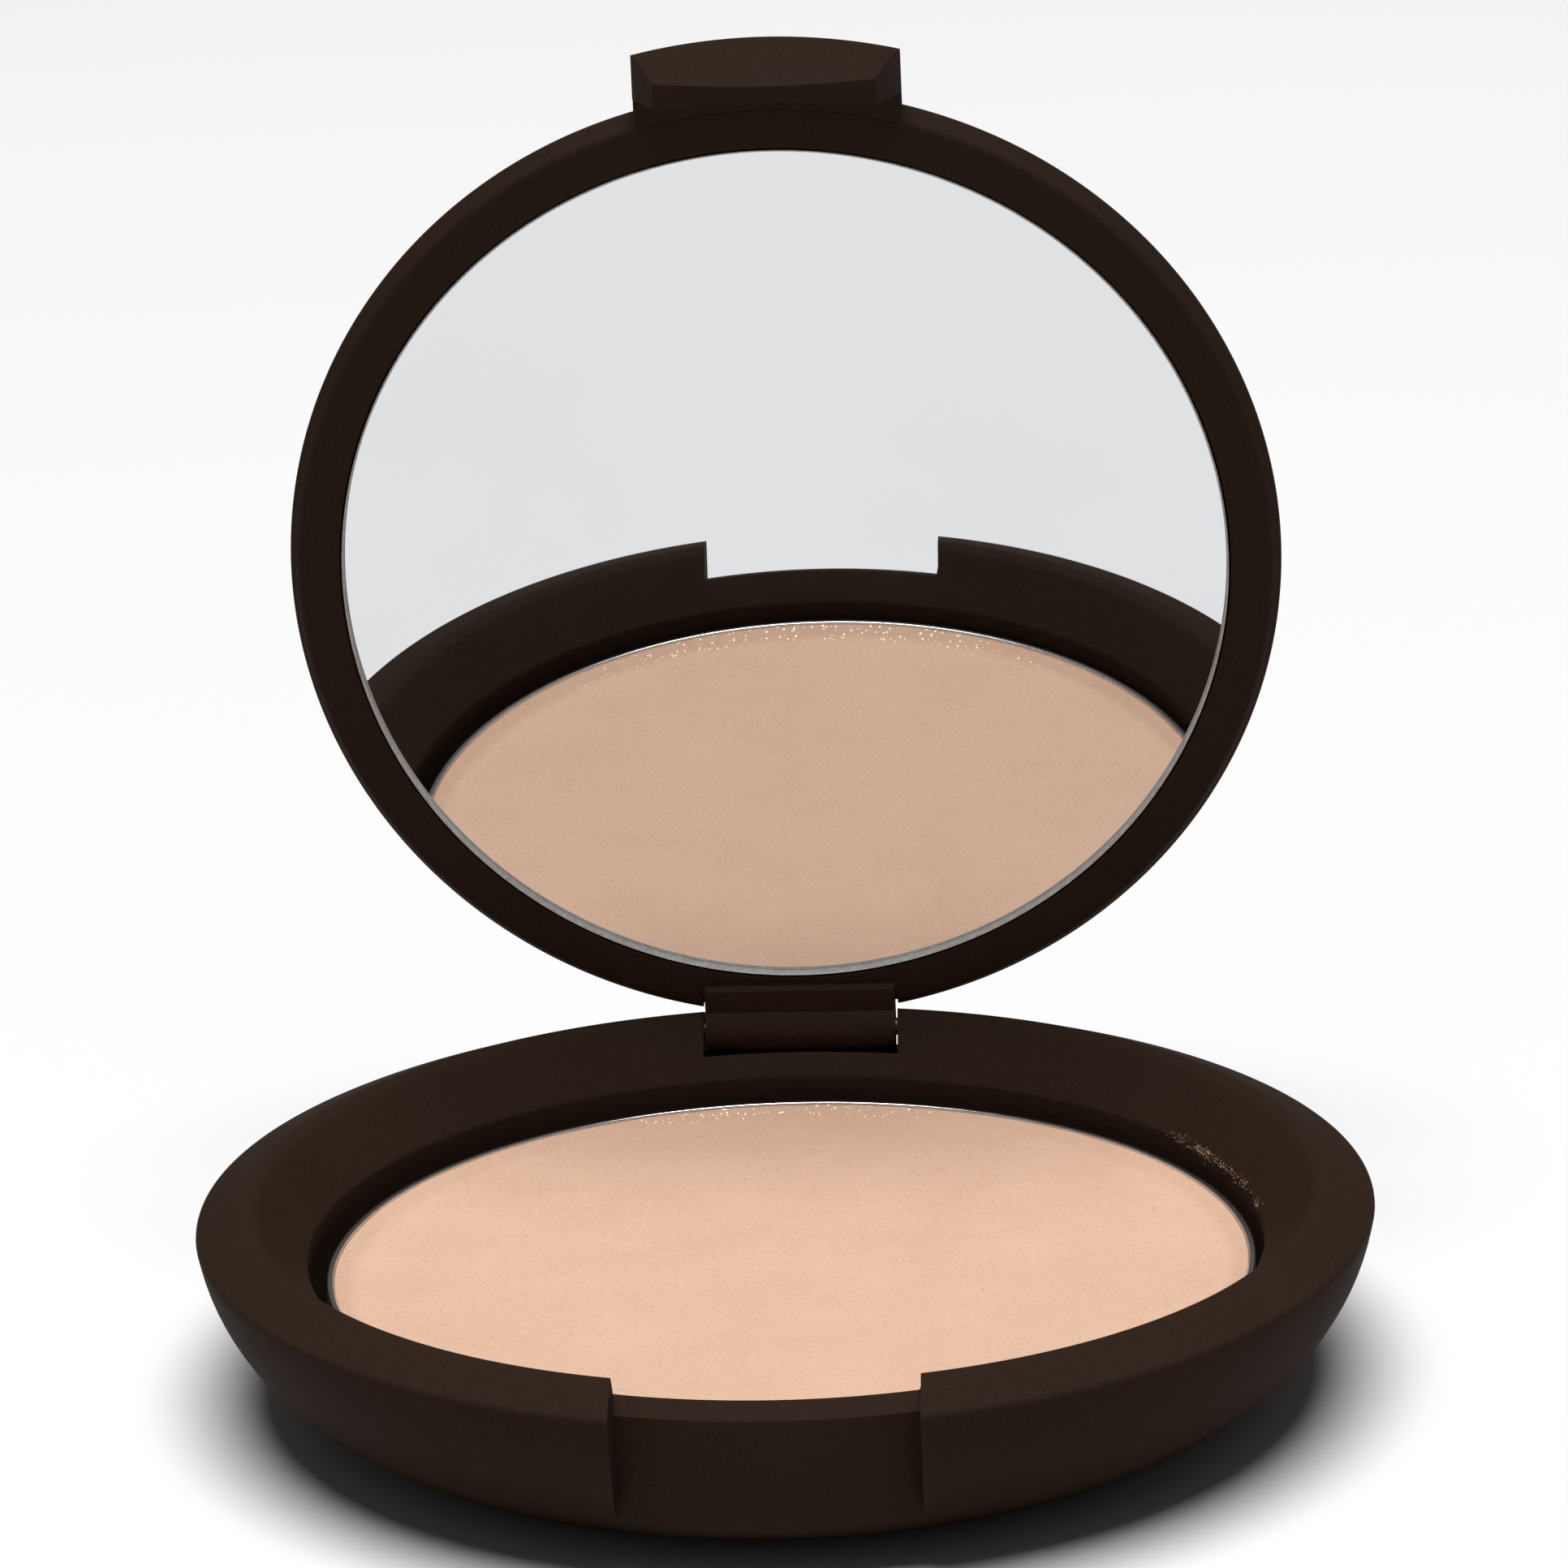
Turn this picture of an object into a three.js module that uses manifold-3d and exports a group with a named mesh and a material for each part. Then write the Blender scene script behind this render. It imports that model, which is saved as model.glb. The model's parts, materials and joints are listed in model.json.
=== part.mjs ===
// Round pressed-powder compact with a mirror lid, shown open.
//
// Millimetres, +Z up, origin at the centre of the flat underside, front of the compact at -Y, hinge at +Y.
// The base is a dished pebble with a raised rim; its front rim has a notch with a catch for the lid's
// thumb tab, its rear rim a slot for the lid's knuckle. The lid is modelled shut, then turned open.

import * as THREE from 'three';
import { mergeVertices } from 'three/addons/utils/BufferGeometryUtils.js';
import Module from 'manifold-3d';

const wasm = await Module();
wasm.setup();

// ---- driving dimensions ----------------------------------------------------------------------------

const OPEN_ANGLE = 83.03; // degrees from shut to the modelled pose
const SEAT_GAP = 0.05; // between pieces that rest on each other
const SEGMENTS = 72; // around the case
const FINE_SEGMENTS = 24; // around the hinge pin and its bores

const SHOULDER_R = 37.95; // widest circle of the base
const SHOULDER_Z = 11.87;
const BELLY_R = 13.5; // radius of the base's rounded side, which runs tangent into the flat underside
const FOOT_R = 24.58; // flat underside, and the centre of the rounded side's arc
const CROWN_R = 34.3; // ridge of the rim, before its rounding
const CROWN_Z = 13.32;
const CROWN_ROUND = 0.98; // length cut off each slope by the rounding
const SHOULDER_ROUND = 0.2;
const WELL_R = 30.9; // bore that the powder pan drops into
const WELL_EDGE_Z = 9.3;
const FLOOR_T = 1.6;

const LABEL_R = 19.0;
const LABEL_T = 0.12;
const LABEL_POCKET_DEPTH = 0.25;
const LABEL_POCKET_R = 19.3;

const RIB_ROOT = 0.3; // how deep the catch and the snap rib are rooted in their walls
const NOTCH_HALF = 9.25; // front notch
const NOTCH_WALL_R = 34.15;
const LEDGE_R = 32.55; // the lowered rim in the notch
const LEDGE_Z = 11.25;
const LEDGE_SLOPE = -0.44;
const LEDGE_REACH = 3.0; // radial width of the cut above the ledge
const CATCH_HALF = 3.25;
const CATCH_TOP_Z = 10.4;
const CATCH_OUT = 0.45;
const CATCH_H = 0.75;
const CATCH_RAMP_H = 0.55;

const SLOT_HALF = 6.75; // rear slot for the knuckle
const SLOT_FRONT_Y = 29.0;
const SLOT_WALL_R = 32.1;
const SLOT_FLOOR_Z = 9.5;

const HINGE_Y = 34.1;
const HINGE_Z = 11.8;
const PIN_R = 0.6;
const PIN_HALF = 9.7;
const PIN_BORE_R = 0.66;
const PIN_BORE_HALF = 10.0;
const KNUCKLE_R = 1.9;
const KNUCKLE_HALF = 6.6;
const KNUCKLE_BORE_R = 0.7;
const ARM_PROUD = 0.8; // how far the knuckle's arm stands out from the mirror's plane
const ARM_FRONT_Y = 30.75;
const KNUCKLE_SEGMENTS = 32;
const KNUCKLE_ROOM = 0.25; // clearance cut into the lid shell around the knuckle
const ARM_SIDE_ROOM = 0.2;
const ARM_TOP_Z = 12.0;

const PAN_R = 30.0; // aluminium godet
const PAN_RIM_Z = 8.0;
const PAN_H = 4.6;
const PAN_T = 0.4;
const PAN_CORNER = 0.8;
const PAN_SHIFT = [0.3, -0.35]; // the pan is glued a little off the well's centre
const POWDER_GAP = 0.05;
const POWDER_BELOW_RIM = 0.15;
const POWDER_DISH = 0.75; // how far the flat of the powder lies below its edge
const POWDER_BEVEL = 1.3;
const GLUE_T = 0.3;
const GLUE_R = 26.0;
const TRAY_R = 30.6;
const TRAY_T = 1.0;
const TRAY_SKIRT_T = 1.4;

const MIRROR_Z = 11.7; // mirror's face when the lid is shut
const MIRROR_R = 30.0;
const MIRROR_T = 1.0;
const MIRROR_PAD_T = 0.25;
const MIRROR_PAD_R = 28.5;
const RECESS_R = 30.12; // liner's recess for the mirror
const LINER_R = 32.2;
const LINER_SHOULDER_Z = 12.75;
const LINER_TOP_R = 30.6;
const LINER_TOP_Z = 13.85;

const LID_R = 33.63; // widest circle of the lid
const LID_EDGE_Z = 12.92;
const LID_TOP_Z = 18.4;
const LID_EDGE_ROUND = 2.2;
const LID_LIP_R = 32.9;
const LID_LIP_CHAMFER = 0.3;
const LID_WALL = 1.2;
const LID_BORE_R = LINER_R + SEAT_GAP;

const TAB_HALF = 8.8; // thumb tab
const TAB_WALL_R = 34.95;
const TAB_END_Z = 6.35;
const TAB_TOP_R = 31.0;
const TAB_TOP_Z = 15.1;
const TAB_BROW_ROUND = 0.8;
const TAB_BOW = 1.2; // how much higher the tab's lower edge is at its ends than in the middle
const TAB_FLANK_X = 1.55; // the flanks slant in by this much
const TAB_FLANK_Z = 11.3;
const SNAP_HALF = 4.0; // snap rib on the tab's inner face
const SNAP_OUT = 0.3;
const SNAP_TOP_Z = 9.35;
const SNAP_H = 0.9;

const FAR = 60; // reach of a cutting tool past the case

// ---- materials -------------------------------------------------------------------------------------

const softTouch = () => new THREE.MeshStandardMaterial({ color: 0x2b211c, roughness: 0.62, metalness: 0 });
const innerPlastic = () => new THREE.MeshStandardMaterial({ color: 0x241c18, roughness: 0.7, metalness: 0 });
const aluminium = () => new THREE.MeshStandardMaterial({ color: 0xcfd3d6, roughness: 0.3, metalness: 1 });
const steel = () => new THREE.MeshStandardMaterial({ color: 0xb4b6b8, roughness: 0.35, metalness: 1 });
const powderPink = () => new THREE.MeshStandardMaterial({ color: 0xe3c1aa, roughness: 0.75, metalness: 0 });
const silvered = () => new THREE.MeshStandardMaterial({ color: 0xdfe5e8, roughness: 0.03, metalness: 1 });
const adhesive = () => new THREE.MeshStandardMaterial({ color: 0xd9d4c8, roughness: 0.8, metalness: 0 });
const paper = () => new THREE.MeshStandardMaterial({ color: 0x5a4a41, roughness: 0.6, metalness: 0 });

// ---- solids ----------------------------------------------------------------------------------------

// Turns a closed three.js geometry into a solid that can be joined and cut.
function toSolid(geometry) {
  const bare = geometry.clone();
  bare.deleteAttribute('normal');
  bare.deleteAttribute('uv');
  const merged = mergeVertices(bare, 1e-4);
  const index = merged.index.array;
  const triangles = [];
  for (let i = 0; i < index.length; i += 3) {
    const [a, b, c] = [index[i], index[i + 1], index[i + 2]];
    if (a !== b && b !== c && c !== a) triangles.push(a, b, c);
  }
  const mesh = new wasm.Mesh({
    numProp: 3,
    vertProperties: new Float32Array(merged.attributes.position.array),
    triVerts: new Uint32Array(triangles),
  });
  return new wasm.Manifold(mesh);
}

// Turns a solid back into a named mesh of its own material.
function toMesh(name, solid, material) {
  const { vertProperties, triVerts } = solid.getMesh();
  const geometry = new THREE.BufferGeometry();
  geometry.setAttribute('position', new THREE.BufferAttribute(new Float32Array(vertProperties), 3));
  geometry.setIndex(new THREE.BufferAttribute(new Uint32Array(triVerts), 1));
  geometry.computeVertexNormals();
  const mesh = new THREE.Mesh(geometry, material);
  mesh.name = name;
  return mesh;
}

// A turned solid about Z. The profile is [radius, height] pairs, anticlockwise with the radius to the right.
function turned(profile, segments = SEGMENTS) {
  const points = profile.map(([r, z]) => new THREE.Vector2(r, z));
  const onAxis = profile[0][0] === 0 && profile[profile.length - 1][0] === 0;
  if (!onAxis) points.push(points[0].clone());
  return toSolid(new THREE.LatheGeometry(points, segments).rotateX(Math.PI / 2));
}

const disc = (radius, bottom, top, segments = SEGMENTS) =>
  turned([[0, bottom], [radius, bottom], [radius, top], [0, top]], segments);

function block([x0, x1], [y0, y1], [z0, z1]) {
  const box = new THREE.BoxGeometry(x1 - x0, y1 - y0, z1 - z0);
  return toSolid(box.translate((x0 + x1) / 2, (y0 + y1) / 2, (z0 + z1) / 2));
}

// A cylinder along X on the hinge axis.
function hingeCylinder(radius, halfLength, segments = FINE_SEGMENTS) {
  const rod = new THREE.CylinderGeometry(radius, radius, 2 * halfLength, segments);
  return toSolid(rod.rotateZ(Math.PI / 2).translate(0, HINGE_Y, HINGE_Z));
}

// The part of a turned solid that lies at the front, within this distance of the plane X = 0.
const frontSector = (profile, halfWidth) =>
  turned(profile).intersect(block([-halfWidth, halfWidth], [-FAR, 0], [-1, FAR]));

// ---- outlines --------------------------------------------------------------------------------------

const along = (from, to, length) => {
  const span = Math.hypot(to[0] - from[0], to[1] - from[1]);
  return [from[0] + ((to[0] - from[0]) * length) / span, from[1] + ((to[1] - from[1]) * length) / span];
};

// Rounds the corner of an outline with a curve that starts and ends this length from it.
function roundedCorner(before, corner, after, length, steps = 4) {
  const curve = new THREE.QuadraticBezierCurve(
    new THREE.Vector2(...along(corner, before, length)),
    new THREE.Vector2(...corner),
    new THREE.Vector2(...along(corner, after, length)),
  );
  return curve.getPoints(steps).map((p) => [p.x, p.y]);
}

function arcPoints(centre, radius, fromAngle, toAngle, steps) {
  return Array.from({ length: steps + 1 }, (_, i) => {
    const angle = fromAngle + ((toAngle - fromAngle) * i) / steps;
    return [centre[0] + radius * Math.cos(angle), centre[1] + radius * Math.sin(angle)];
  });
}

// The base's rounded side, from a given height up to just below the shoulder.
function bellyArc(fromZ, steps) {
  const start = Math.asin((fromZ - BELLY_R) / BELLY_R);
  const end = -Math.acos((SHOULDER_R - FOOT_R) / BELLY_R);
  return arcPoints([FOOT_R, BELLY_R], BELLY_R, start, end, steps);
}

// ---- base ------------------------------------------------------------------------------------------

function rimOutline() {
  const well = [WELL_R, WELL_EDGE_Z];
  const crown = [CROWN_R, CROWN_Z];
  const shoulder = [SHOULDER_R, SHOULDER_Z];
  return [
    ...bellyArc(0, 10),
    ...roundedCorner([SHOULDER_R, 0], shoulder, crown, SHOULDER_ROUND, 2),
    ...roundedCorner(shoulder, crown, well, CROWN_ROUND, 5),
    well,
  ];
}

function frontNotch() {
  const outerR = LEDGE_R + LEDGE_REACH;
  const cutBack = [[NOTCH_WALL_R, -1], [FAR, -1], [FAR, FAR], [NOTCH_WALL_R, FAR]];
  const aboveLedge = [
    [LEDGE_R, LEDGE_Z],
    [outerR, LEDGE_Z + LEDGE_SLOPE * LEDGE_REACH],
    [outerR, LEDGE_Z + LEDGE_REACH],
    [LEDGE_R, LEDGE_Z + LEDGE_REACH],
  ];
  return frontSector(cutBack, NOTCH_HALF).add(frontSector(aboveLedge, NOTCH_HALF));
}

// A bar across the notch wall: a ramp on top for the lid to ride over, square underneath.
function catchBar() {
  const root = NOTCH_WALL_R - RIB_ROOT;
  const nose = NOTCH_WALL_R + CATCH_OUT;
  return frontSector([
    [root, CATCH_TOP_Z - CATCH_H],
    [nose, CATCH_TOP_Z - CATCH_H],
    [nose, CATCH_TOP_Z - CATCH_RAMP_H],
    [NOTCH_WALL_R, CATCH_TOP_Z],
    [root, CATCH_TOP_Z],
  ], CATCH_HALF);
}

function baseShell() {
  const pebble = turned([
    [0, LABEL_POCKET_DEPTH],
    [LABEL_POCKET_R, LABEL_POCKET_DEPTH],
    [LABEL_POCKET_R, 0],
    ...rimOutline(),
    [WELL_R, FLOOR_T],
    [0, FLOOR_T],
  ]);
  const slotBlock = block([-SLOT_HALF, SLOT_HALF], [SLOT_FRONT_Y, FAR], [SLOT_FLOOR_Z, FAR]);
  const rearSlot = slotBlock.subtract(disc(SLOT_WALL_R, 0, FAR));
  const pinBore = hingeCylinder(PIN_BORE_R, PIN_BORE_HALF);
  return pebble.subtract(frontNotch()).add(catchBar()).subtract(rearSlot).subtract(pinBore);
}

const panFloorZ = PAN_RIM_Z - PAN_H;
const glueTopZ = panFloorZ - SEAT_GAP;
const trayTopZ = glueTopZ - GLUE_T - SEAT_GAP;

// A riser that stands on the shell's floor and holds the pan at its height.
function panTray() {
  const bottom = FLOOR_T + SEAT_GAP;
  const skirtR = TRAY_R - TRAY_SKIRT_T;
  return turned([
    [0, trayTopZ - TRAY_T],
    [skirtR, trayTopZ - TRAY_T],
    [skirtR, bottom],
    [TRAY_R, bottom],
    [TRAY_R, trayTopZ],
    [0, trayTopZ],
  ]);
}

function powderPan() {
  const innerR = PAN_R - PAN_T;
  return turned([
    [0, panFloorZ],
    [PAN_R - PAN_CORNER, panFloorZ],
    [PAN_R, panFloorZ + PAN_CORNER],
    [PAN_R, PAN_RIM_Z],
    [innerR, PAN_RIM_Z],
    [innerR, panFloorZ + PAN_CORNER],
    [innerR - PAN_CORNER + PAN_T, panFloorZ + PAN_T],
    [0, panFloorZ + PAN_T],
  ]);
}

function pressedPowder() {
  const edgeR = PAN_R - PAN_T - POWDER_GAP;
  const edgeZ = PAN_RIM_Z - POWDER_BELOW_RIM;
  const bottom = panFloorZ + PAN_T + POWDER_GAP;
  return turned([
    [0, bottom],
    [edgeR - PAN_CORNER, bottom],
    [edgeR, bottom + PAN_CORNER],
    [edgeR, edgeZ],
    [edgeR - POWDER_BEVEL, edgeZ - POWDER_DISH],
    [0, edgeZ - POWDER_DISH],
  ]);
}

// ---- lid, modelled shut ----------------------------------------------------------------------------

// The dome is one large arc that runs tangent into the small arc of the lid's edge.
function domeOutline(inset) {
  const edgeCentreR = LID_R - LID_EDGE_ROUND;
  const rise = LID_TOP_Z - LID_EDGE_Z;
  const domeR = (edgeCentreR ** 2 + rise ** 2 - LID_EDGE_ROUND ** 2) / (2 * (rise - LID_EDGE_ROUND));
  const domeCentreZ = LID_TOP_Z - domeR;
  const tangent = Math.atan2(LID_EDGE_Z - domeCentreZ, edgeCentreR);
  return [
    ...arcPoints([edgeCentreR, LID_EDGE_Z], LID_EDGE_ROUND - inset, 0, tangent, 4),
    ...arcPoints([0, domeCentreZ], domeR - inset, tangent, Math.PI / 2, 7).slice(1, -1),
    [0, LID_TOP_Z - inset],
  ];
}

function thumbTab() {
  const top = [TAB_TOP_R, TAB_TOP_Z];
  const shoulder = [SHOULDER_R, SHOULDER_Z];
  const side = bellyArc(TAB_END_Z, 6).filter((point) => point[1] < SHOULDER_Z - TAB_BROW_ROUND);
  const ring = turned([
    [TAB_TOP_R, MIRROR_Z],
    [TAB_WALL_R, MIRROR_Z],
    [TAB_WALL_R, TAB_END_Z],
    ...side,
    ...roundedCorner(side.at(-1), shoulder, top, TAB_BROW_ROUND, 4),
    top,
  ]);
  const insideLid = disc(LINER_R + LID_WALL / 2, 0, FAR);
  return ring.intersect(tabFront()).subtract(insideLid).add(snapRib());
}

// The tab's outline seen from the front, extruded along Y: a bowed lower edge and slanted flanks.
function tabFront() {
  const endX = TAB_HALF - TAB_FLANK_X;
  const lowerEdge = [-1, -0.75, -0.5, -0.25, 0, 0.25, 0.5, 0.75, 1].map(
    (t) => new THREE.Vector2(t * endX, TAB_END_Z + TAB_BOW * t * t),
  );
  const outline = new THREE.Shape([
    ...lowerEdge,
    new THREE.Vector2(TAB_HALF, TAB_FLANK_Z),
    new THREE.Vector2(TAB_HALF, FAR),
    new THREE.Vector2(-TAB_HALF, FAR),
    new THREE.Vector2(-TAB_HALF, TAB_FLANK_Z),
  ]);
  const front = new THREE.ExtrudeGeometry(outline, { depth: FAR, bevelEnabled: false });
  return toSolid(front.rotateX(Math.PI / 2));
}

// The rib that passes the catch and holds the lid shut.
function snapRib() {
  const root = TAB_WALL_R + RIB_ROOT;
  const nose = TAB_WALL_R - SNAP_OUT;
  const bottom = SNAP_TOP_Z - SNAP_H;
  return frontSector([
    [nose, bottom + SNAP_OUT],
    [TAB_WALL_R, bottom],
    [root, bottom],
    [root, SNAP_TOP_Z],
    [nose, SNAP_TOP_Z],
  ], SNAP_HALF);
}

function lidShell() {
  const inside = domeOutline(LID_WALL).reverse().map(([r, z]) => [Math.min(r, LID_BORE_R), z]);
  const dome = turned([
    ...inside,
    [LID_BORE_R, MIRROR_Z],
    [LID_LIP_R, MIRROR_Z],
    [LID_R - LID_LIP_CHAMFER, LID_EDGE_Z - LID_LIP_CHAMFER],
    ...domeOutline(0),
  ]);
  const roomHalf = KNUCKLE_HALF + ARM_SIDE_ROOM;
  const knuckleRoom = hingeCylinder(KNUCKLE_R + KNUCKLE_ROOM, roomHalf, KNUCKLE_SEGMENTS);
  const armRoom = block([-roomHalf, roomHalf], [ARM_FRONT_Y, FAR], [0, ARM_TOP_Z + ARM_SIDE_ROOM]);
  return dome.add(thumbTab()).subtract(knuckleRoom).subtract(armRoom);
}

function lidLiner() {
  const padTopZ = MIRROR_Z + MIRROR_T + MIRROR_PAD_T + 3 * SEAT_GAP;
  const plate = turned([
    [0, padTopZ],
    [RECESS_R, padTopZ],
    [RECESS_R, MIRROR_Z],
    [LINER_R, MIRROR_Z],
    [LINER_R, LINER_SHOULDER_Z],
    [LINER_TOP_R, LINER_TOP_Z],
    [0, LINER_TOP_Z],
  ]);
  const armX = [-KNUCKLE_HALF, KNUCKLE_HALF];
  const arm = block(armX, [ARM_FRONT_Y, HINGE_Y], [MIRROR_Z - ARM_PROUD, ARM_TOP_Z]);
  const knuckle = hingeCylinder(KNUCKLE_R, KNUCKLE_HALF, KNUCKLE_SEGMENTS);
  const pinHole = hingeCylinder(KNUCKLE_BORE_R, KNUCKLE_HALF + 1);
  return plate.add(arm).add(knuckle).subtract(pinHole);
}

// ---- assembly --------------------------------------------------------------------------------------

const compact = new THREE.Group();

const labelZ = LABEL_POCKET_DEPTH - SEAT_GAP - LABEL_T;
const base = new THREE.Group();
base.add(toMesh('base_shell', baseShell(), softTouch()));
base.add(toMesh('base_label', disc(LABEL_R, labelZ, labelZ + LABEL_T), paper()));
base.add(toMesh('pan_tray', panTray(), innerPlastic()));
base.add(toMesh('hinge_pin', hingeCylinder(PIN_R, PIN_HALF), steel()));

const panGroup = new THREE.Group();
panGroup.position.set(PAN_SHIFT[0], PAN_SHIFT[1], 0);
panGroup.add(toMesh('pan_adhesive', disc(GLUE_R, glueTopZ - GLUE_T, glueTopZ), adhesive()));
panGroup.add(toMesh('powder_pan', powderPan(), aluminium()));
panGroup.add(toMesh('pressed_powder', pressedPowder(), powderPink()));
base.add(panGroup);
compact.add(base);

const mirrorPadZ = MIRROR_Z + MIRROR_T + SEAT_GAP;
const shutLid = new THREE.Group();
shutLid.position.set(0, -HINGE_Y, -HINGE_Z);
shutLid.add(toMesh('lid_shell', lidShell(), softTouch()));
shutLid.add(toMesh('lid_liner', lidLiner(), softTouch()));
shutLid.add(toMesh('mirror', disc(MIRROR_R, MIRROR_Z, MIRROR_Z + MIRROR_T), silvered()));
shutLid.add(toMesh('mirror_adhesive', disc(MIRROR_PAD_R, mirrorPadZ, mirrorPadZ + MIRROR_PAD_T), adhesive()));

const lidOnHinge = new THREE.Group();
lidOnHinge.position.set(0, HINGE_Y, HINGE_Z);
lidOnHinge.rotation.x = -THREE.MathUtils.degToRad(OPEN_ANGLE);
lidOnHinge.add(shutLid);
compact.add(lidOnHinge);

export default compact;
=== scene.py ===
"""Round pressed-powder compact, standing open. Metres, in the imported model's frame."""

import math
import random

import bmesh
import bpy
from mathutils import Matrix, Quaternion, Vector
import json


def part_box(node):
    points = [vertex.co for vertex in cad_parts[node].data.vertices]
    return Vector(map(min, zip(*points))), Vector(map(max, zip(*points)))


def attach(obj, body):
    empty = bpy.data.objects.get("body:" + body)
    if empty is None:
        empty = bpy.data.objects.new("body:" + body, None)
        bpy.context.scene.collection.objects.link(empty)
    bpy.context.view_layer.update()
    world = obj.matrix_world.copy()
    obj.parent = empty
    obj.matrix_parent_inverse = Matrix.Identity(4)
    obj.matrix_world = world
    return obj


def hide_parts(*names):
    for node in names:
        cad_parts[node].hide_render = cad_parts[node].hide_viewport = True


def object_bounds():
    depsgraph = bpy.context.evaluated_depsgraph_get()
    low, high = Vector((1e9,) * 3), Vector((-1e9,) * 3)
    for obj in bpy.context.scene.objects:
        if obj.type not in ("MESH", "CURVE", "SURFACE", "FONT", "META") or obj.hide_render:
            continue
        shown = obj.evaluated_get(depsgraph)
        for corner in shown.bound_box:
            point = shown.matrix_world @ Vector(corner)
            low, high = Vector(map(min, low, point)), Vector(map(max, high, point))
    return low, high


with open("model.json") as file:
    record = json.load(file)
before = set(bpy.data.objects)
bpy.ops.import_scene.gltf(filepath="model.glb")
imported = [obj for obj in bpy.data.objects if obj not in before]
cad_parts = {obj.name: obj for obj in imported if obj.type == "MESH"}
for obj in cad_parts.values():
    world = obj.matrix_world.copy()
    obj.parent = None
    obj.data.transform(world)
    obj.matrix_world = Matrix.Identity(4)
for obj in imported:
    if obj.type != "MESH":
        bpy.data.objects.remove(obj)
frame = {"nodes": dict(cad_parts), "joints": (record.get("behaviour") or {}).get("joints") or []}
cad_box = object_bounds()

MM = 0.001
AROUND = 288  # segments round the case

# The hinge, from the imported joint, in millimetres.
hinge = frame["joints"][0]
HINGE_Y, HINGE_Z = (c / MM for c in hinge["pos_m"][1:])
OPEN_ANGLE = -hinge["range_deg"][0]

# ---- outlines, in millimetres, as [radius, height] ------------------------------------------------------

SHOULDER_R, SHOULDER_Z = 37.95, 11.87
FOOT_R, BELLY_R = 24.58, 13.5
CROWN_R, CROWN_Z = 34.3, 13.32
WELL_R, WELL_EDGE_Z = 30.9, 9.3
FLOOR_T = 1.6
LABEL_POCKET_R, LABEL_POCKET_DEPTH = 19.3, 0.25

NOTCH_HALF, NOTCH_WALL_R = 9.25, 34.15
LEDGE_R, LEDGE_Z, LEDGE_SLOPE = 32.55, 11.25, -0.44
CATCH_HALF, CATCH_TOP_Z, CATCH_OUT, CATCH_H = 3.25, 10.4, 0.45, 0.75
SLOT_HALF, SLOT_WALL_R, SLOT_FLOOR_Z = 6.75, 32.1, 9.5
KNUCKLE_R, KNUCKLE_HALF = 1.9, 6.6
ARM_FRONT_Y, ARM_PROUD = 30.75, 0.8

MIRROR_Z, MIRROR_R = 11.7, 30.0
RECESS_R, LINER_R = 30.12, 32.2
LID_R, LID_EDGE_Z, LID_TOP_Z, LID_EDGE_ROUND = 33.63, 12.92, 18.4, 2.2
LID_LIP_R, LID_WALL = 32.9, 1.2
LID_BORE_R = LINER_R + 0.05
TAB_HALF, TAB_WALL_R, TAB_END_Z = 8.8, 34.95, 6.35
TAB_TOP_R, TAB_TOP_Z = 31.0, 15.1
FAR = 60.0


def arc(centre, radius, start, end, steps):
    angles = [start + (end - start) * i / steps for i in range(steps + 1)]
    return [(centre[0] + radius * math.cos(a), centre[1] + radius * math.sin(a)) for a in angles]


def along(start, towards, length):
    span = math.dist(start, towards)
    return tuple(s + (t - s) * length / span for s, t in zip(start, towards))


def rounded(before, corner, after, length, steps=8):
    """Rounds a corner with a curve that starts and ends this length from it."""
    p, q = along(corner, before, length), along(corner, after, length)
    curve = []
    for i in range(steps + 1):
        t = i / steps
        blend = ((1 - t) ** 2, 2 * t * (1 - t), t**2)
        curve.append(tuple(blend[0] * a + blend[1] * c + blend[2] * b for a, c, b in zip(p, corner, q)))
    return curve


def belly(from_z, steps):
    start = math.asin((from_z - BELLY_R) / BELLY_R)
    end = -math.acos((SHOULDER_R - FOOT_R) / BELLY_R)
    return arc((FOOT_R, BELLY_R), BELLY_R, start, end, steps)


def dome(inset, edge_steps=12, top_steps=30):
    edge_r = LID_R - LID_EDGE_ROUND
    rise = LID_TOP_Z - LID_EDGE_Z
    radius = (edge_r**2 + rise**2 - LID_EDGE_ROUND**2) / (2 * (rise - LID_EDGE_ROUND))
    centre_z = LID_TOP_Z - radius
    tangent = math.atan2(LID_EDGE_Z - centre_z, edge_r)
    small = arc((edge_r, LID_EDGE_Z), LID_EDGE_ROUND - inset, 0, tangent, edge_steps)
    large = arc((0, centre_z), radius - inset, tangent, math.pi / 2, top_steps)
    return small + large[1:-1] + [(0, LID_TOP_Z - inset)]


# ---- mesh tools ------------------------------------------------------------------------------------------


def new_object(name, bm):
    mesh = bpy.data.meshes.new(name)
    bmesh.ops.recalc_face_normals(bm, faces=bm.faces)
    if bm.calc_volume(signed=True) < 0:
        bmesh.ops.reverse_faces(bm, faces=bm.faces)
    bm.to_mesh(mesh)
    bm.free()
    obj = bpy.data.objects.new(name, mesh)
    bpy.context.scene.collection.objects.link(obj)
    return obj


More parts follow.
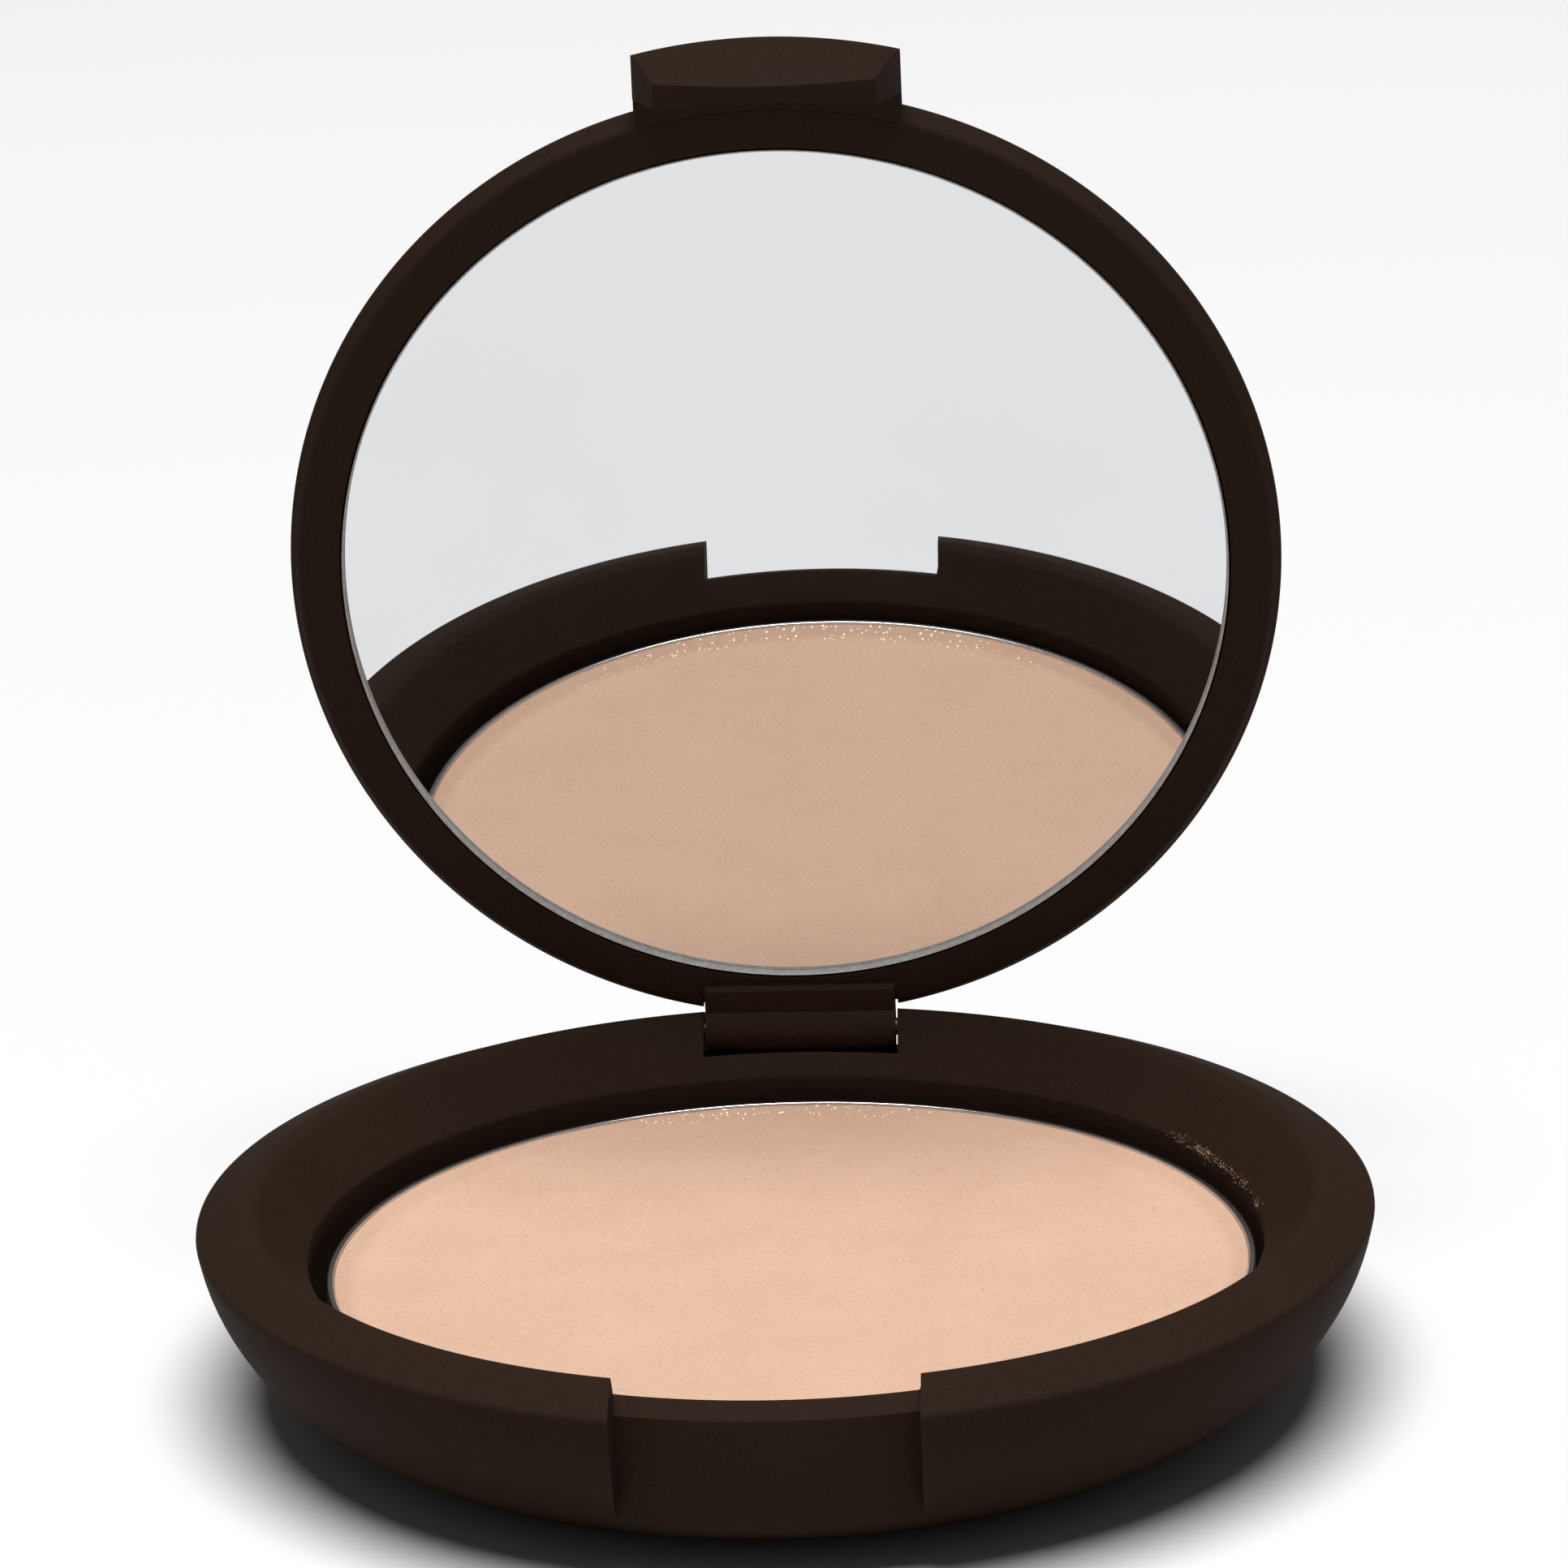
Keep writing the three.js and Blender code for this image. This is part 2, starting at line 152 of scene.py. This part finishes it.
def turned(name, profile, segments=AROUND):
    """A closed solid turned about Z."""
    bm = bmesh.new()
    rings = []
    for r, z in profile:
        if r < 1e-6:
            rings.append([bm.verts.new((0, 0, z))] * segments)
            continue
        angles = [2 * math.pi * i / segments for i in range(segments)]
        rings.append([bm.verts.new((r * math.cos(a), r * math.sin(a), z)) for a in angles])
    pairs = list(zip(rings, rings[1:]))
    if profile[0][0] > 1e-6:
        pairs.append((rings[-1], rings[0]))
    for lower, upper in pairs:
        for i in range(segments):
            j = (i + 1) % segments
            corners = []
            for v in (lower[i], lower[j], upper[j], upper[i]):
                if v not in corners:
                    corners.append(v)
            if len(corners) > 2:
                bm.faces.new(corners)
    return new_object(name, bm)


def block(x, y, z):
    bm = bmesh.new()
    bmesh.ops.create_cube(bm, size=1)
    size = Vector((x[1] - x[0], y[1] - y[0], z[1] - z[0]))
    centre = Vector((x[0] + x[1], y[0] + y[1], z[0] + z[1])) / 2
    bmesh.ops.transform(bm, matrix=Matrix.Translation(centre) @ Matrix.Diagonal(size).to_4x4(), verts=bm.verts)
    return new_object("tool", bm)


def prism(outline, half):
    """A prism across X from an outline of (y, z) pairs."""
    bm = bmesh.new()
    ends = [[bm.verts.new((x, y, z)) for y, z in outline] for x in (-half, half)]
    count = len(outline)
    for i in range(count):
        j = (i + 1) % count
        bm.faces.new((ends[0][i], ends[0][j], ends[1][j], ends[1][i]))
    bm.faces.new(ends[0])
    bm.faces.new(ends[1])
    return new_object("tool", bm)


def rod(radius, half, segments=64):
    """A cylinder along X on the hinge axis."""
    angles = [2 * math.pi * i / segments for i in range(segments)]
    return prism([(HINGE_Y + radius * math.cos(a), HINGE_Z + radius * math.sin(a)) for a in angles], half)


def front_sector(profile, half):
    """The part of a turned solid that lies at the front, within this distance of the plane X = 0."""
    return combine(turned("tool", profile), block((-half, half), (-FAR, 0), (-1, FAR)), "INTERSECT")


def combine(obj, tool, operation):
    """Joins, cuts or intersects, applies the result and removes the tool."""
    boolean = obj.modifiers.new("boolean", "BOOLEAN")
    boolean.operation = operation
    boolean.solver = "MANIFOLD"
    boolean.object = tool
    apply_modifiers(obj)
    bpy.data.objects.remove(tool)
    return obj


def apply_modifiers(obj):
    graph = bpy.context.evaluated_depsgraph_get()
    mesh = bpy.data.meshes.new_from_object(obj.evaluated_get(graph))
    obj.modifiers.clear()
    obj.data = mesh


def sharp_edges(bm, angle):
    limit = math.radians(angle)
    return [e for e in bm.edges if len(e.link_faces) == 2 and e.calc_face_angle(0) > limit]


def soften(obj, width, keep_sharp=None, angle=30, segments=3, weld=1.0):
    """Rounds the sharp edges, as a moulded piece has them, but not where keep_sharp(midpoint) holds."""
    bm = bmesh.new()
    bm.from_mesh(obj.data)
    bmesh.ops.dissolve_limit(bm, angle_limit=math.radians(0.05), verts=bm.verts, edges=bm.edges)
    corners = list({v for e in sharp_edges(bm, angle) for v in e.verts})
    bmesh.ops.remove_doubles(bm, verts=corners, dist=0.9 * weld * width)
    on_edge = {v for e in sharp_edges(bm, angle) for v in e.verts}
    welds = {}
    for edge in bm.edges:
        a, b = edge.verts
        if edge.calc_length() < 1.1 * weld * width and (a in on_edge) != (b in on_edge):
            loose, fixed = (b, a) if a in on_edge else (a, b)
            welds[loose] = fixed
    bmesh.ops.weld_verts(bm, targetmap=welds)
    weight = bm.edges.layers.float.new("bevel_weight_edge")
    for edge in sharp_edges(bm, angle):
        middle = (edge.verts[0].co + edge.verts[1].co) / 2
        edge[weight] = 0.0 if keep_sharp and keep_sharp(middle) else 1.0
    bm.to_mesh(obj.data)
    bm.free()
    bevel = obj.modifiers.new("bevel", "BEVEL")
    bevel.width = width
    bevel.segments = segments
    bevel.limit_method = "WEIGHT"
    bevel.use_clamp_overlap = True
    apply_modifiers(obj)


def place(obj, material, body, replaced=(), lid=False, shift=(0, 0)):
    """Turns the lid's pieces open, brings a piece to metres and gives it its body and finish."""
    matrix = Matrix.Translation((shift[0], shift[1], 0))
    if lid:
        axis = Vector((0, HINGE_Y, HINGE_Z))
        turn = Matrix.Rotation(-math.radians(OPEN_ANGLE), 4, "X")
        matrix = Matrix.Translation(axis) @ turn @ Matrix.Translation(-axis)
    obj.data.transform(Matrix.Scale(MM, 4) @ matrix)
    obj.data.shade_smooth()
    obj.data.set_sharp_from_angle(angle=math.radians(40))
    obj.data.materials.clear()
    obj.data.materials.append(material)
    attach(obj, body)
    if replaced:
        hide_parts(*replaced)
    return obj


# ---- materials -------------------------------------------------------------------------------------------


class Nodes:
    """A material with a principled shader, and short ways to add nodes to it."""

    def __init__(self, name):
        self.material = bpy.data.materials.new(name)
        self.material.use_nodes = True
        self.tree = self.material.node_tree
        self.shader = self.tree.nodes["Principled BSDF"]
        self.coords = self.tree.nodes.new("ShaderNodeTexCoord").outputs["Object"]

    def add(self, kind, **values):
        node = self.tree.nodes.new(kind)
        for key, value in values.items():
            setattr(node, key, value)
        return node

    def link(self, output, target):
        self.tree.links.new(output, target)

    def noise(self, scale, detail=4.0, roughness=0.55, distortion=0.0):
        node = self.add("ShaderNodeTexNoise")
        node.inputs["Scale"].default_value = scale
        node.inputs["Detail"].default_value = detail
        node.inputs["Roughness"].default_value = roughness
        node.inputs["Distortion"].default_value = distortion
        self.link(self.coords, node.inputs["Vector"])
        return node.outputs["Fac"]

    def cells(self, scale, output="Color"):
        node = self.add("ShaderNodeTexVoronoi")
        node.inputs["Scale"].default_value = scale
        self.link(self.coords, node.inputs["Vector"])
        return node.outputs[output]

    def ramp(self, value, stops):
        node = self.add("ShaderNodeValToRGB")
        elements = node.color_ramp.elements
        while len(elements) < len(stops):
            elements.new(0.5)
        for element, (position, colour) in zip(elements, stops):
            element.position = position
            element.color = (*colour, 1) if len(colour) == 3 else (colour[0],) * 3 + (1,)
        self.link(value, node.inputs["Fac"])
        return node.outputs["Color"]

    def span(self, value, low, high, source=(0.0, 1.0)):
        node = self.add("ShaderNodeMapRange")
        node.inputs["From Min"].default_value, node.inputs["From Max"].default_value = source
        node.inputs["To Min"].default_value, node.inputs["To Max"].default_value = low, high
        self.link(value, node.inputs["Value"])
        return node.outputs["Result"]

    def mix(self, factor, a, b):
        node = self.add("ShaderNodeMix", data_type="RGBA")
        for value, socket in ((factor, node.inputs[0]), (a, node.inputs[6]), (b, node.inputs[7])):
            if isinstance(value, tuple):
                socket.default_value = (*value, 1)
            elif isinstance(value, float):
                socket.default_value = value
            else:
                self.link(value, socket)
        return node.outputs[2]

    def bump(self, height, distance, strength=1.0):
        node = self.add("ShaderNodeBump")
        node.inputs["Distance"].default_value = distance
        node.inputs["Strength"].default_value = strength
        self.link(height, node.inputs["Height"])
        self.link(node.outputs["Normal"], self.shader.inputs["Normal"])

    def set(self, **values):
        for key, value in values.items():
            self.shader.inputs[key.replace("_", " ")].default_value = value


def soft_touch():
    m = Nodes("soft_touch_plastic")
    tone = m.noise(90, detail=5)
    colour = m.ramp(tone, [(0.3, (0.0195, 0.0112, 0.0074)), (0.7, (0.0230, 0.0133, 0.0088))])
    grain = m.noise(5200, detail=2)
    m.link(m.mix(m.span(grain, 0.0, 1.0, (0.3, 0.7)), colour, (0.0265, 0.0156, 0.0106)), m.shader.inputs["Base Color"])
    m.link(m.span(tone, 0.58, 0.72), m.shader.inputs["Roughness"])
    m.bump(grain, 0.00003, 0.35)
    m.set(Specular_IOR_Level=0.02)
    return m.material


def plain_plastic():
    m = Nodes("inner_plastic")
    tone = m.noise(160)
    m.link(m.ramp(tone, [(0.3, (0.012, 0.009, 0.007)), (0.7, (0.016, 0.012, 0.010))]), m.shader.inputs["Base Color"])
    m.link(m.span(tone, 0.42, 0.55), m.shader.inputs["Roughness"])
    m.bump(m.noise(2600), 0.00002, 0.4)
    return m.material


def powder():
    m = Nodes("pressed_powder")
    cloud = m.noise(140, detail=6)
    base = m.ramp(cloud, [(0.3, (0.575, 0.36, 0.25)), (0.7, (0.625, 0.40, 0.28))])
    grains = m.cells(8500)
    grain = m.add("ShaderNodeSeparateColor")
    m.link(grains, grain.inputs["Color"])
    speckled = m.mix(m.span(grain.outputs["Red"], 0.0, 0.5), base, (0.68, 0.465, 0.345))
    glint = m.ramp(grain.outputs["Green"], [(0.95, (0.0,)), (0.985, (1.0,))])
    m.link(m.mix(glint, speckled, (0.70, 0.52, 0.40)), m.shader.inputs["Base Color"])
    m.link(m.span(glint, 0.78, 0.3), m.shader.inputs["Roughness"])
    m.link(m.span(glint, 0.0, 0.35), m.shader.inputs["Metallic"])
    height = m.mix(0.4, m.noise(2600, detail=3), m.cells(4200, "Distance"))
    m.bump(height, 0.00006, 0.6)
    m.set(Specular_IOR_Level=0.25)
    return m.material


def dust():
    m = Nodes("powder_dust")
    tone = m.noise(3000, detail=3)
    m.link(m.ramp(tone, [(0.3, (0.20, 0.125, 0.08)), (0.7, (0.42, 0.28, 0.19))]), m.shader.inputs["Base Color"])
    m.link(m.span(tone, 0.75, 0.9), m.shader.inputs["Roughness"])
    m.bump(tone, 0.00003, 0.5)
    return m.material


def ring_metal(name, colour, low, high, scale=900):
    """Metal with the fine rings that pressing or drawing leaves."""
    m = Nodes(name)
    parts = m.add("ShaderNodeSeparateXYZ")
    m.link(m.coords, parts.inputs["Vector"])
    length = m.add("ShaderNodeVectorMath", operation="LENGTH")
    m.link(m.coords, length.inputs[0])
    rings = m.add("ShaderNodeTexNoise")
    rings.inputs["Scale"].default_value = scale
    m.link(length.outputs["Value"], rings.inputs["Vector"])
    m.link(m.span(rings.outputs["Fac"], low, high, (0.3, 0.7)), m.shader.inputs["Roughness"])
    tone = m.noise(300)
    lighter = tuple(min(1.0, c * 1.06) for c in colour)
    m.link(m.ramp(tone, [(0.3, colour), (0.7, lighter)]), m.shader.inputs["Base Color"])
    m.bump(rings.outputs["Fac"], 0.00001, 0.3)
    m.set(Metallic=1.0)
    return m.material


def silver():
    m = Nodes("mirror_silver")
    haze = m.noise(60, detail=2)
    m.link(m.ramp(haze, [(0.3, (0.715, 0.725, 0.735)), (0.7, (0.73, 0.74, 0.75))]), m.shader.inputs["Base Color"])
    m.link(m.span(m.noise(35), 0.004, 0.012), m.shader.inputs["Roughness"])
    m.set(Metallic=1.0)
    return m.material


def ground_glass():
    m = Nodes("ground_glass_edge")
    frost = m.noise(3000, detail=3)
    m.link(m.ramp(frost, [(0.3, (0.30, 0.29, 0.28)), (0.7, (0.46, 0.45, 0.43))]), m.shader.inputs["Base Color"])
    m.link(m.span(frost, 0.3, 0.5), m.shader.inputs["Roughness"])
    m.bump(frost, 0.00002, 0.5)
    return m.material


def adhesive():
    m = Nodes("adhesive_pad")
    tone = m.noise(400)
    m.link(m.ramp(tone, [(0.3, (0.62, 0.58, 0.50)), (0.7, (0.72, 0.68, 0.60))]), m.shader.inputs["Base Color"])
    m.link(m.span(tone, 0.55, 0.75), m.shader.inputs["Roughness"])
    m.bump(tone, 0.00003, 0.4)
    return m.material


def label_film():
    m = Nodes("label_film")
    fibre = m.noise(900, detail=3)
    m.link(m.ramp(fibre, [(0.3, (0.075, 0.058, 0.047)), (0.7, (0.090, 0.070, 0.058))]), m.shader.inputs["Base Color"])
    m.link(m.span(fibre, 0.38, 0.5), m.shader.inputs["Roughness"])
    m.bump(fibre, 0.00001, 0.3)
    return m.material


case_material = soft_touch()
inner_material = plain_plastic()
powder_material = powder()
pan_material = ring_metal("pan_aluminium", (0.80, 0.83, 0.86), 0.16, 0.3)
pin_material = ring_metal("pin_steel", (0.16, 0.16, 0.16), 0.35, 0.5)
silver_material = silver()
edge_material = ground_glass()
adhesive_material = adhesive()
label_material = label_film()

# ---- base ------------------------------------------------------------------------------------------------

well, crown, shoulder = (WELL_R, WELL_EDGE_Z), (CROWN_R, CROWN_Z), (SHOULDER_R, SHOULDER_Z)
shell = turned(
    "base_shell_fine",
    [(0, LABEL_POCKET_DEPTH), (LABEL_POCKET_R, LABEL_POCKET_DEPTH), (LABEL_POCKET_R, 0)]
    + belly(0, 26)
    + rounded((SHOULDER_R, 0), shoulder, crown, 0.35, 5)
    + rounded(shoulder, crown, well, 0.98, 10)
    + rounded(crown, well, (WELL_R, 0), 0.15, 3)
    + [(WELL_R, FLOOR_T), (0, FLOOR_T)],
)
cut_back = [(NOTCH_WALL_R, -1), (FAR, -1), (FAR, FAR), (NOTCH_WALL_R, FAR)]
reach = 3.0
above_ledge = [
    (LEDGE_R, LEDGE_Z),
    (LEDGE_R + reach, LEDGE_Z + LEDGE_SLOPE * reach),
    (LEDGE_R + reach, LEDGE_Z + reach),
    (LEDGE_R, LEDGE_Z + reach),
]
catch_root, catch_nose = NOTCH_WALL_R - 0.3, NOTCH_WALL_R + CATCH_OUT
catch = [
    (catch_root, CATCH_TOP_Z - CATCH_H),
    (catch_nose, CATCH_TOP_Z - CATCH_H),
    (catch_nose, CATCH_TOP_Z - 0.55),
    (NOTCH_WALL_R, CATCH_TOP_Z),
    (catch_root, CATCH_TOP_Z),
]
combine(shell, front_sector(cut_back, NOTCH_HALF), "DIFFERENCE")
combine(shell, front_sector(above_ledge, NOTCH_HALF), "DIFFERENCE")
slot = block((-SLOT_HALF, SLOT_HALF), (29, FAR), (SLOT_FLOOR_Z, FAR))
combine(slot, turned("tool", [(0, 0), (SLOT_WALL_R, 0), (SLOT_WALL_R, FAR), (0, FAR)]), "DIFFERENCE")
combine(shell, slot, "DIFFERENCE")
combine(shell, rod(0.66, 10.0), "DIFFERENCE")
soften(shell, 0.28, lambda p: p.z < 0.3 or (abs(p.y - HINGE_Y) < 0.8 and abs(p.z - HINGE_Z) < 0.8))
catch_bar = front_sector(catch, CATCH_HALF)
soften(catch_bar, 0.08)
combine(shell, catch_bar, "UNION")
place(shell, case_material, "base", ["base_shell"])

# ---- pan and powder --------------------------------------------------------------------------------------

pan_low, pan_high = (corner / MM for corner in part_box("powder_pan"))
pan_shift = ((pan_low.x + pan_high.x) / 2, (pan_low.y + pan_high.y) / 2)
PAN_R = (pan_high.x - pan_low.x) / 2
PAN_T, PAN_CORNER = 0.4, 0.8
rim_z, floor_z = pan_high.z, pan_low.z
pan = turned(
    "powder_pan_fine",
    [(0, floor_z)]
    + rounded((0, floor_z), (PAN_R, floor_z), (PAN_R, rim_z), PAN_CORNER, 6)
    + rounded((PAN_R, floor_z), (PAN_R, rim_z), (PAN_R - PAN_T, rim_z), 0.12, 4)
    + rounded((PAN_R, rim_z), (PAN_R - PAN_T, rim_z), (PAN_R - PAN_T, floor_z), 0.12, 4)
    + rounded(
        (PAN_R - PAN_T, rim_z),
        (PAN_R - PAN_T, floor_z + PAN_T),
        (0, floor_z + PAN_T),
        PAN_CORNER,
        6,
    )
    + [(0, floor_z + PAN_T)],
)
place(pan, pan_material, "base", ["powder_pan"], shift=pan_shift)


def powder_slug():
    """The slug has a pressed, dished edge, and its face waves by a few hundredths of a millimetre."""
    edge_r = PAN_R - PAN_T - 0.05
    edge_z, bottom = rim_z - 0.15, floor_z + PAN_T + 0.05
    face_z = edge_z - 0.75
    rings = [(0, bottom), (edge_r - PAN_CORNER, bottom), (edge_r, bottom + PAN_CORNER)]
    rings += [(edge_r, edge_z - 0.1), (edge_r - 0.08, edge_z)]
    rings += rounded((edge_r, edge_z), (edge_r - 1.3, face_z), (0, face_z), 0.6, 6)
    rings += [(edge_r - 1.9 - 1.1 * i, face_z) for i in range(1, 25)]
    rings += [(0, face_z)]
    slug = turned("pressed_powder_fine", rings)
    for v in slug.data.vertices:
        if v.co.z > face_z - 0.01:
            r, a = math.hypot(v.co.x, v.co.y), math.atan2(v.co.y, v.co.x)
            wave = math.sin(0.31 * v.co.x + 0.9) * math.sin(0.27 * v.co.y - 0.4)
            crumble = 0.5 * math.sin(23 * a + 1.3 * math.sin(7 * a)) + 0.5 * math.sin(61 * a + 2 * math.sin(5 * a))
            near_edge = max(0.0, 1 - abs(edge_r - 0.7 - r) / 1.2)
            v.co.z += 0.02 * wave * min(1.0, (edge_r - r) / 2) + 0.03 * crumble * near_edge
    return slug


place(powder_slug(), powder_material, "base", ["pressed_powder"], shift=pan_shift)

# ---- lid, built shut -------------------------------------------------------------------------------------

ROOM_HALF = KNUCKLE_HALF + 0.2
inside = [(min(r, LID_BORE_R), z) for r, z in reversed(dome(LID_WALL, 4, 12))]
lid = turned(
    "lid_shell_fine",
    inside + [(LID_BORE_R, MIRROR_Z), (LID_LIP_R, MIRROR_Z), (LID_R - 0.3, LID_EDGE_Z - 0.3)] + dome(0),
)


def tab_front():
    """The tab's outline seen from the front, drawn along Y: a bowed lower edge and slanted flanks."""
    end_x = TAB_HALF - 1.55
    outline = [(end_x * t / 8, TAB_END_Z + 1.2 * (t / 8) ** 2) for t in range(-8, 9)]
    outline += [(TAB_HALF, 11.3), (TAB_HALF, FAR), (-TAB_HALF, FAR), (-TAB_HALF, 11.3)]
    bm = bmesh.new()
    ends = [[bm.verts.new((x, y, z)) for x, z in outline] for y in (-FAR, 0)]
    for i in range(len(outline)):
        j = (i + 1) % len(outline)
        bm.faces.new((ends[0][i], ends[0][j], ends[1][j], ends[1][i]))
    bm.faces.new(ends[0])
    bm.faces.new(ends[1])
    return new_object("tool", bm)


side = [(max(r, TAB_WALL_R + 0.2), z) for r, z in belly(TAB_END_Z - 1, 24) if z < SHOULDER_Z - 0.9]
tab = turned(
    "tool",
    [(TAB_TOP_R, MIRROR_Z), (TAB_WALL_R, MIRROR_Z), (TAB_WALL_R, TAB_END_Z - 1)]
    + side
    + rounded(side[-1], shoulder, (TAB_TOP_R, TAB_TOP_Z), 0.9, 8)
    + [(TAB_TOP_R, TAB_TOP_Z)],
)
combine(tab, tab_front(), "INTERSECT")
combine(tab, turned("tool", [(0, 0), (LINER_R + 0.6, 0), (LINER_R + 0.6, FAR), (0, FAR)]), "DIFFERENCE")


snap_root, snap_nose, snap_low = TAB_WALL_R + 0.3, TAB_WALL_R - 0.3, 8.45
snap = [
    (snap_nose, snap_low + 0.3),
    (TAB_WALL_R, snap_low),
    (snap_root, snap_low),
    (snap_root, 9.35),
    (snap_nose, 9.35),
]
soften(lid, 0.28, lambda p: math.hypot(p.x, p.y) < LID_BORE_R + 0.1)
soften(tab, 0.25, lambda p: p.z > 11.0, segments=4, weld=0.5)
combine(lid, tab, "UNION")
combine(lid, rod(KNUCKLE_R + 0.25, ROOM_HALF), "DIFFERENCE")
combine(lid, block((-ROOM_HALF, ROOM_HALF), (ARM_FRONT_Y, FAR), (0, 12.2)), "DIFFERENCE")
snap_rib = front_sector(snap, 4.0)
soften(snap_rib, 0.06)
combine(lid, snap_rib, "UNION")
place(lid, case_material, "lid", ["lid_shell"], lid=True)

pad_top = MIRROR_Z + 1.4
liner = turned(
    "lid_liner_fine",
    [(0, pad_top), (RECESS_R, pad_top)]
    + rounded((RECESS_R, pad_top), (RECESS_R, MIRROR_Z), (LINER_R, MIRROR_Z), 0.15, 4)
    + [(LINER_R + 0.04, MIRROR_Z), (LINER_R + 0.04, 12.75), (30.6, 13.85), (0, 13.85)],
)
arm_x = (-KNUCKLE_HALF, KNUCKLE_HALF)
combine(liner, block(arm_x, (ARM_FRONT_Y, HINGE_Y), (MIRROR_Z - ARM_PROUD, 12.0)), "UNION")
combine(liner, rod(KNUCKLE_R, KNUCKLE_HALF), "UNION")
combine(liner, rod(0.7, KNUCKLE_HALF + 1, 48), "DIFFERENCE")
soften(liner, 0.12, lambda p: math.hypot(p.y - HINGE_Y, p.z - HINGE_Z) < 1.0 or math.hypot(p.x, p.y) > 32.1)
place(liner, case_material, "lid", ["lid_liner"], lid=True)

# The silver is seen through the glass, so it stands a little behind the face, inside the ground edge.
SILVER_Z = MIRROR_Z + 0.62
silver_disc = turned(
    "mirror_silver",
    [(0, SILVER_Z), (MIRROR_R - 0.14, SILVER_Z), (MIRROR_R - 0.14, SILVER_Z + 0.3), (0, SILVER_Z + 0.3)],
)
place(silver_disc, silver_material, "lid", ["mirror"], lid=True)
glass_edge = turned(
    "mirror_ground_edge",
    [
        (MIRROR_R - 0.13, SILVER_Z + 0.3),
        (MIRROR_R - 0.13, MIRROR_Z + 0.12),
        (MIRROR_R - 0.02, MIRROR_Z + 0.01),
        (MIRROR_R, MIRROR_Z + 0.03),
        (MIRROR_R, SILVER_Z + 0.3),
    ],
)
place(glass_edge, edge_material, "lid", ["mirror"], lid=True)

# ---- carried-over CAD nodes ------------------------------------------------------------------------------

finishes = {
    "pan_tray": inner_material,
    "hinge_pin": pin_material,
    "pan_adhesive": adhesive_material,
    "mirror_adhesive": adhesive_material,
    "base_label": label_material,
}
for node, material in finishes.items():
    mesh = frame["nodes"][node].data
    mesh.materials.clear()
    mesh.materials.append(material)

# ---- loose powder on the rim of the well -------------------------------------------------------------------


def powder_crumbs():
    """Crumbs of powder along the edge of the well, most of them at the right."""
    rng = random.Random(7)
    bm = bmesh.new()
    clumps = [rng.gauss(0.42, 0.16) for _ in range(26)]
    for _ in range(520):
        angle = rng.choice(clumps) + rng.gauss(0, 0.02)
        size = rng.uniform(0.016, 0.05) * (1.6 if rng.random() < 0.12 else 1.0)
        up = rng.gauss(0.03, 0.13)
        r = WELL_R + (0.05 + 0.85 * up if up > 0 else -0.01)
        z = WELL_EDGE_Z + (0.03 + up if up > 0 else 1.8 * up)
        grain = bmesh.ops.create_icosphere(bm, subdivisions=1, radius=size)["verts"]
        for v in grain:
            v.co *= rng.uniform(0.6, 1.25)
        spin = Matrix.Rotation(rng.uniform(0, 6.28), 4, "Z")
        move = Matrix.Translation((r * math.cos(angle), r * math.sin(angle), z))
        bmesh.ops.transform(bm, matrix=move @ spin, verts=grain)
    return new_object("powder_crumbs", bm)


place(powder_crumbs(), dust(), "base")

# ---- stage -----------------------------------------------------------------------------------------------


def stage_floor():
    m = Nodes("studio_floor")
    tone = m.noise(3, detail=2)
    m.link(m.ramp(tone, [(0.3, (0.755, 0.755, 0.755)), (0.7, (0.765, 0.765, 0.765))]), m.shader.inputs["Base Color"])
    m.set(Roughness=0.9, Specular_IOR_Level=0.1)
    bm = bmesh.new()
    bmesh.ops.create_grid(bm, x_segments=1, y_segments=1, size=6)
    floor = new_object("floor", bm)
    floor.location.z = cad_box[0].z - 0.0001
    floor.data.materials.append(m.material)


stage_floor()

world = bpy.data.worlds.new("studio")
bpy.context.scene.world = world
world.use_nodes = True
world.node_tree.nodes["Background"].inputs["Color"].default_value = (1.0, 1.0, 1.0, 1)
world.node_tree.nodes["Background"].inputs["Strength"].default_value = 0.08


def softbox(name, place_at, aim, size, power):
    light = bpy.data.lights.new(name, "AREA")
    light.shape = "DISK"
    light.size = size
    light.energy = power
    obj = bpy.data.objects.new(name, light)
    obj.location = place_at
    obj.rotation_euler = (Vector(aim) - Vector(place_at)).to_track_quat("-Z", "Y").to_euler()
    bpy.context.scene.collection.objects.link(obj)


softbox("overhead", (0.0, -0.3, 2.6), (0, 0, 0), 2.0, 98.0)

# ---- camera ----------------------------------------------------------------------------------------------

AZIMUTH, ELEVATION, ROLL = math.radians(2.472), math.radians(16.668), math.radians(-1.828)
DISTANCE, LENS = 0.39401, 143.08
AIM = (0.826 * MM, -0.35 * MM, 39.915 * MM)

back = Vector(
    (
        math.sin(AZIMUTH) * math.cos(ELEVATION),
        -math.cos(AZIMUTH) * math.cos(ELEVATION),
        math.sin(ELEVATION),
    )
)
camera_data = bpy.data.cameras.new("camera")
camera_data.lens = LENS
camera_data.sensor_width = 36
camera_data.clip_start, camera_data.clip_end = 0.01, 30
camera = bpy.data.objects.new("camera", camera_data)
camera.rotation_mode = "QUATERNION"
camera.location = Vector(AIM) + back * DISTANCE
camera.rotation_quaternion = (-back).to_track_quat("-Z", "Y") @ Quaternion((0, 0, 1), ROLL)
bpy.context.scene.collection.objects.link(camera)
bpy.context.scene.camera = camera
bpy.context.scene.view_settings.view_transform = "Standard"
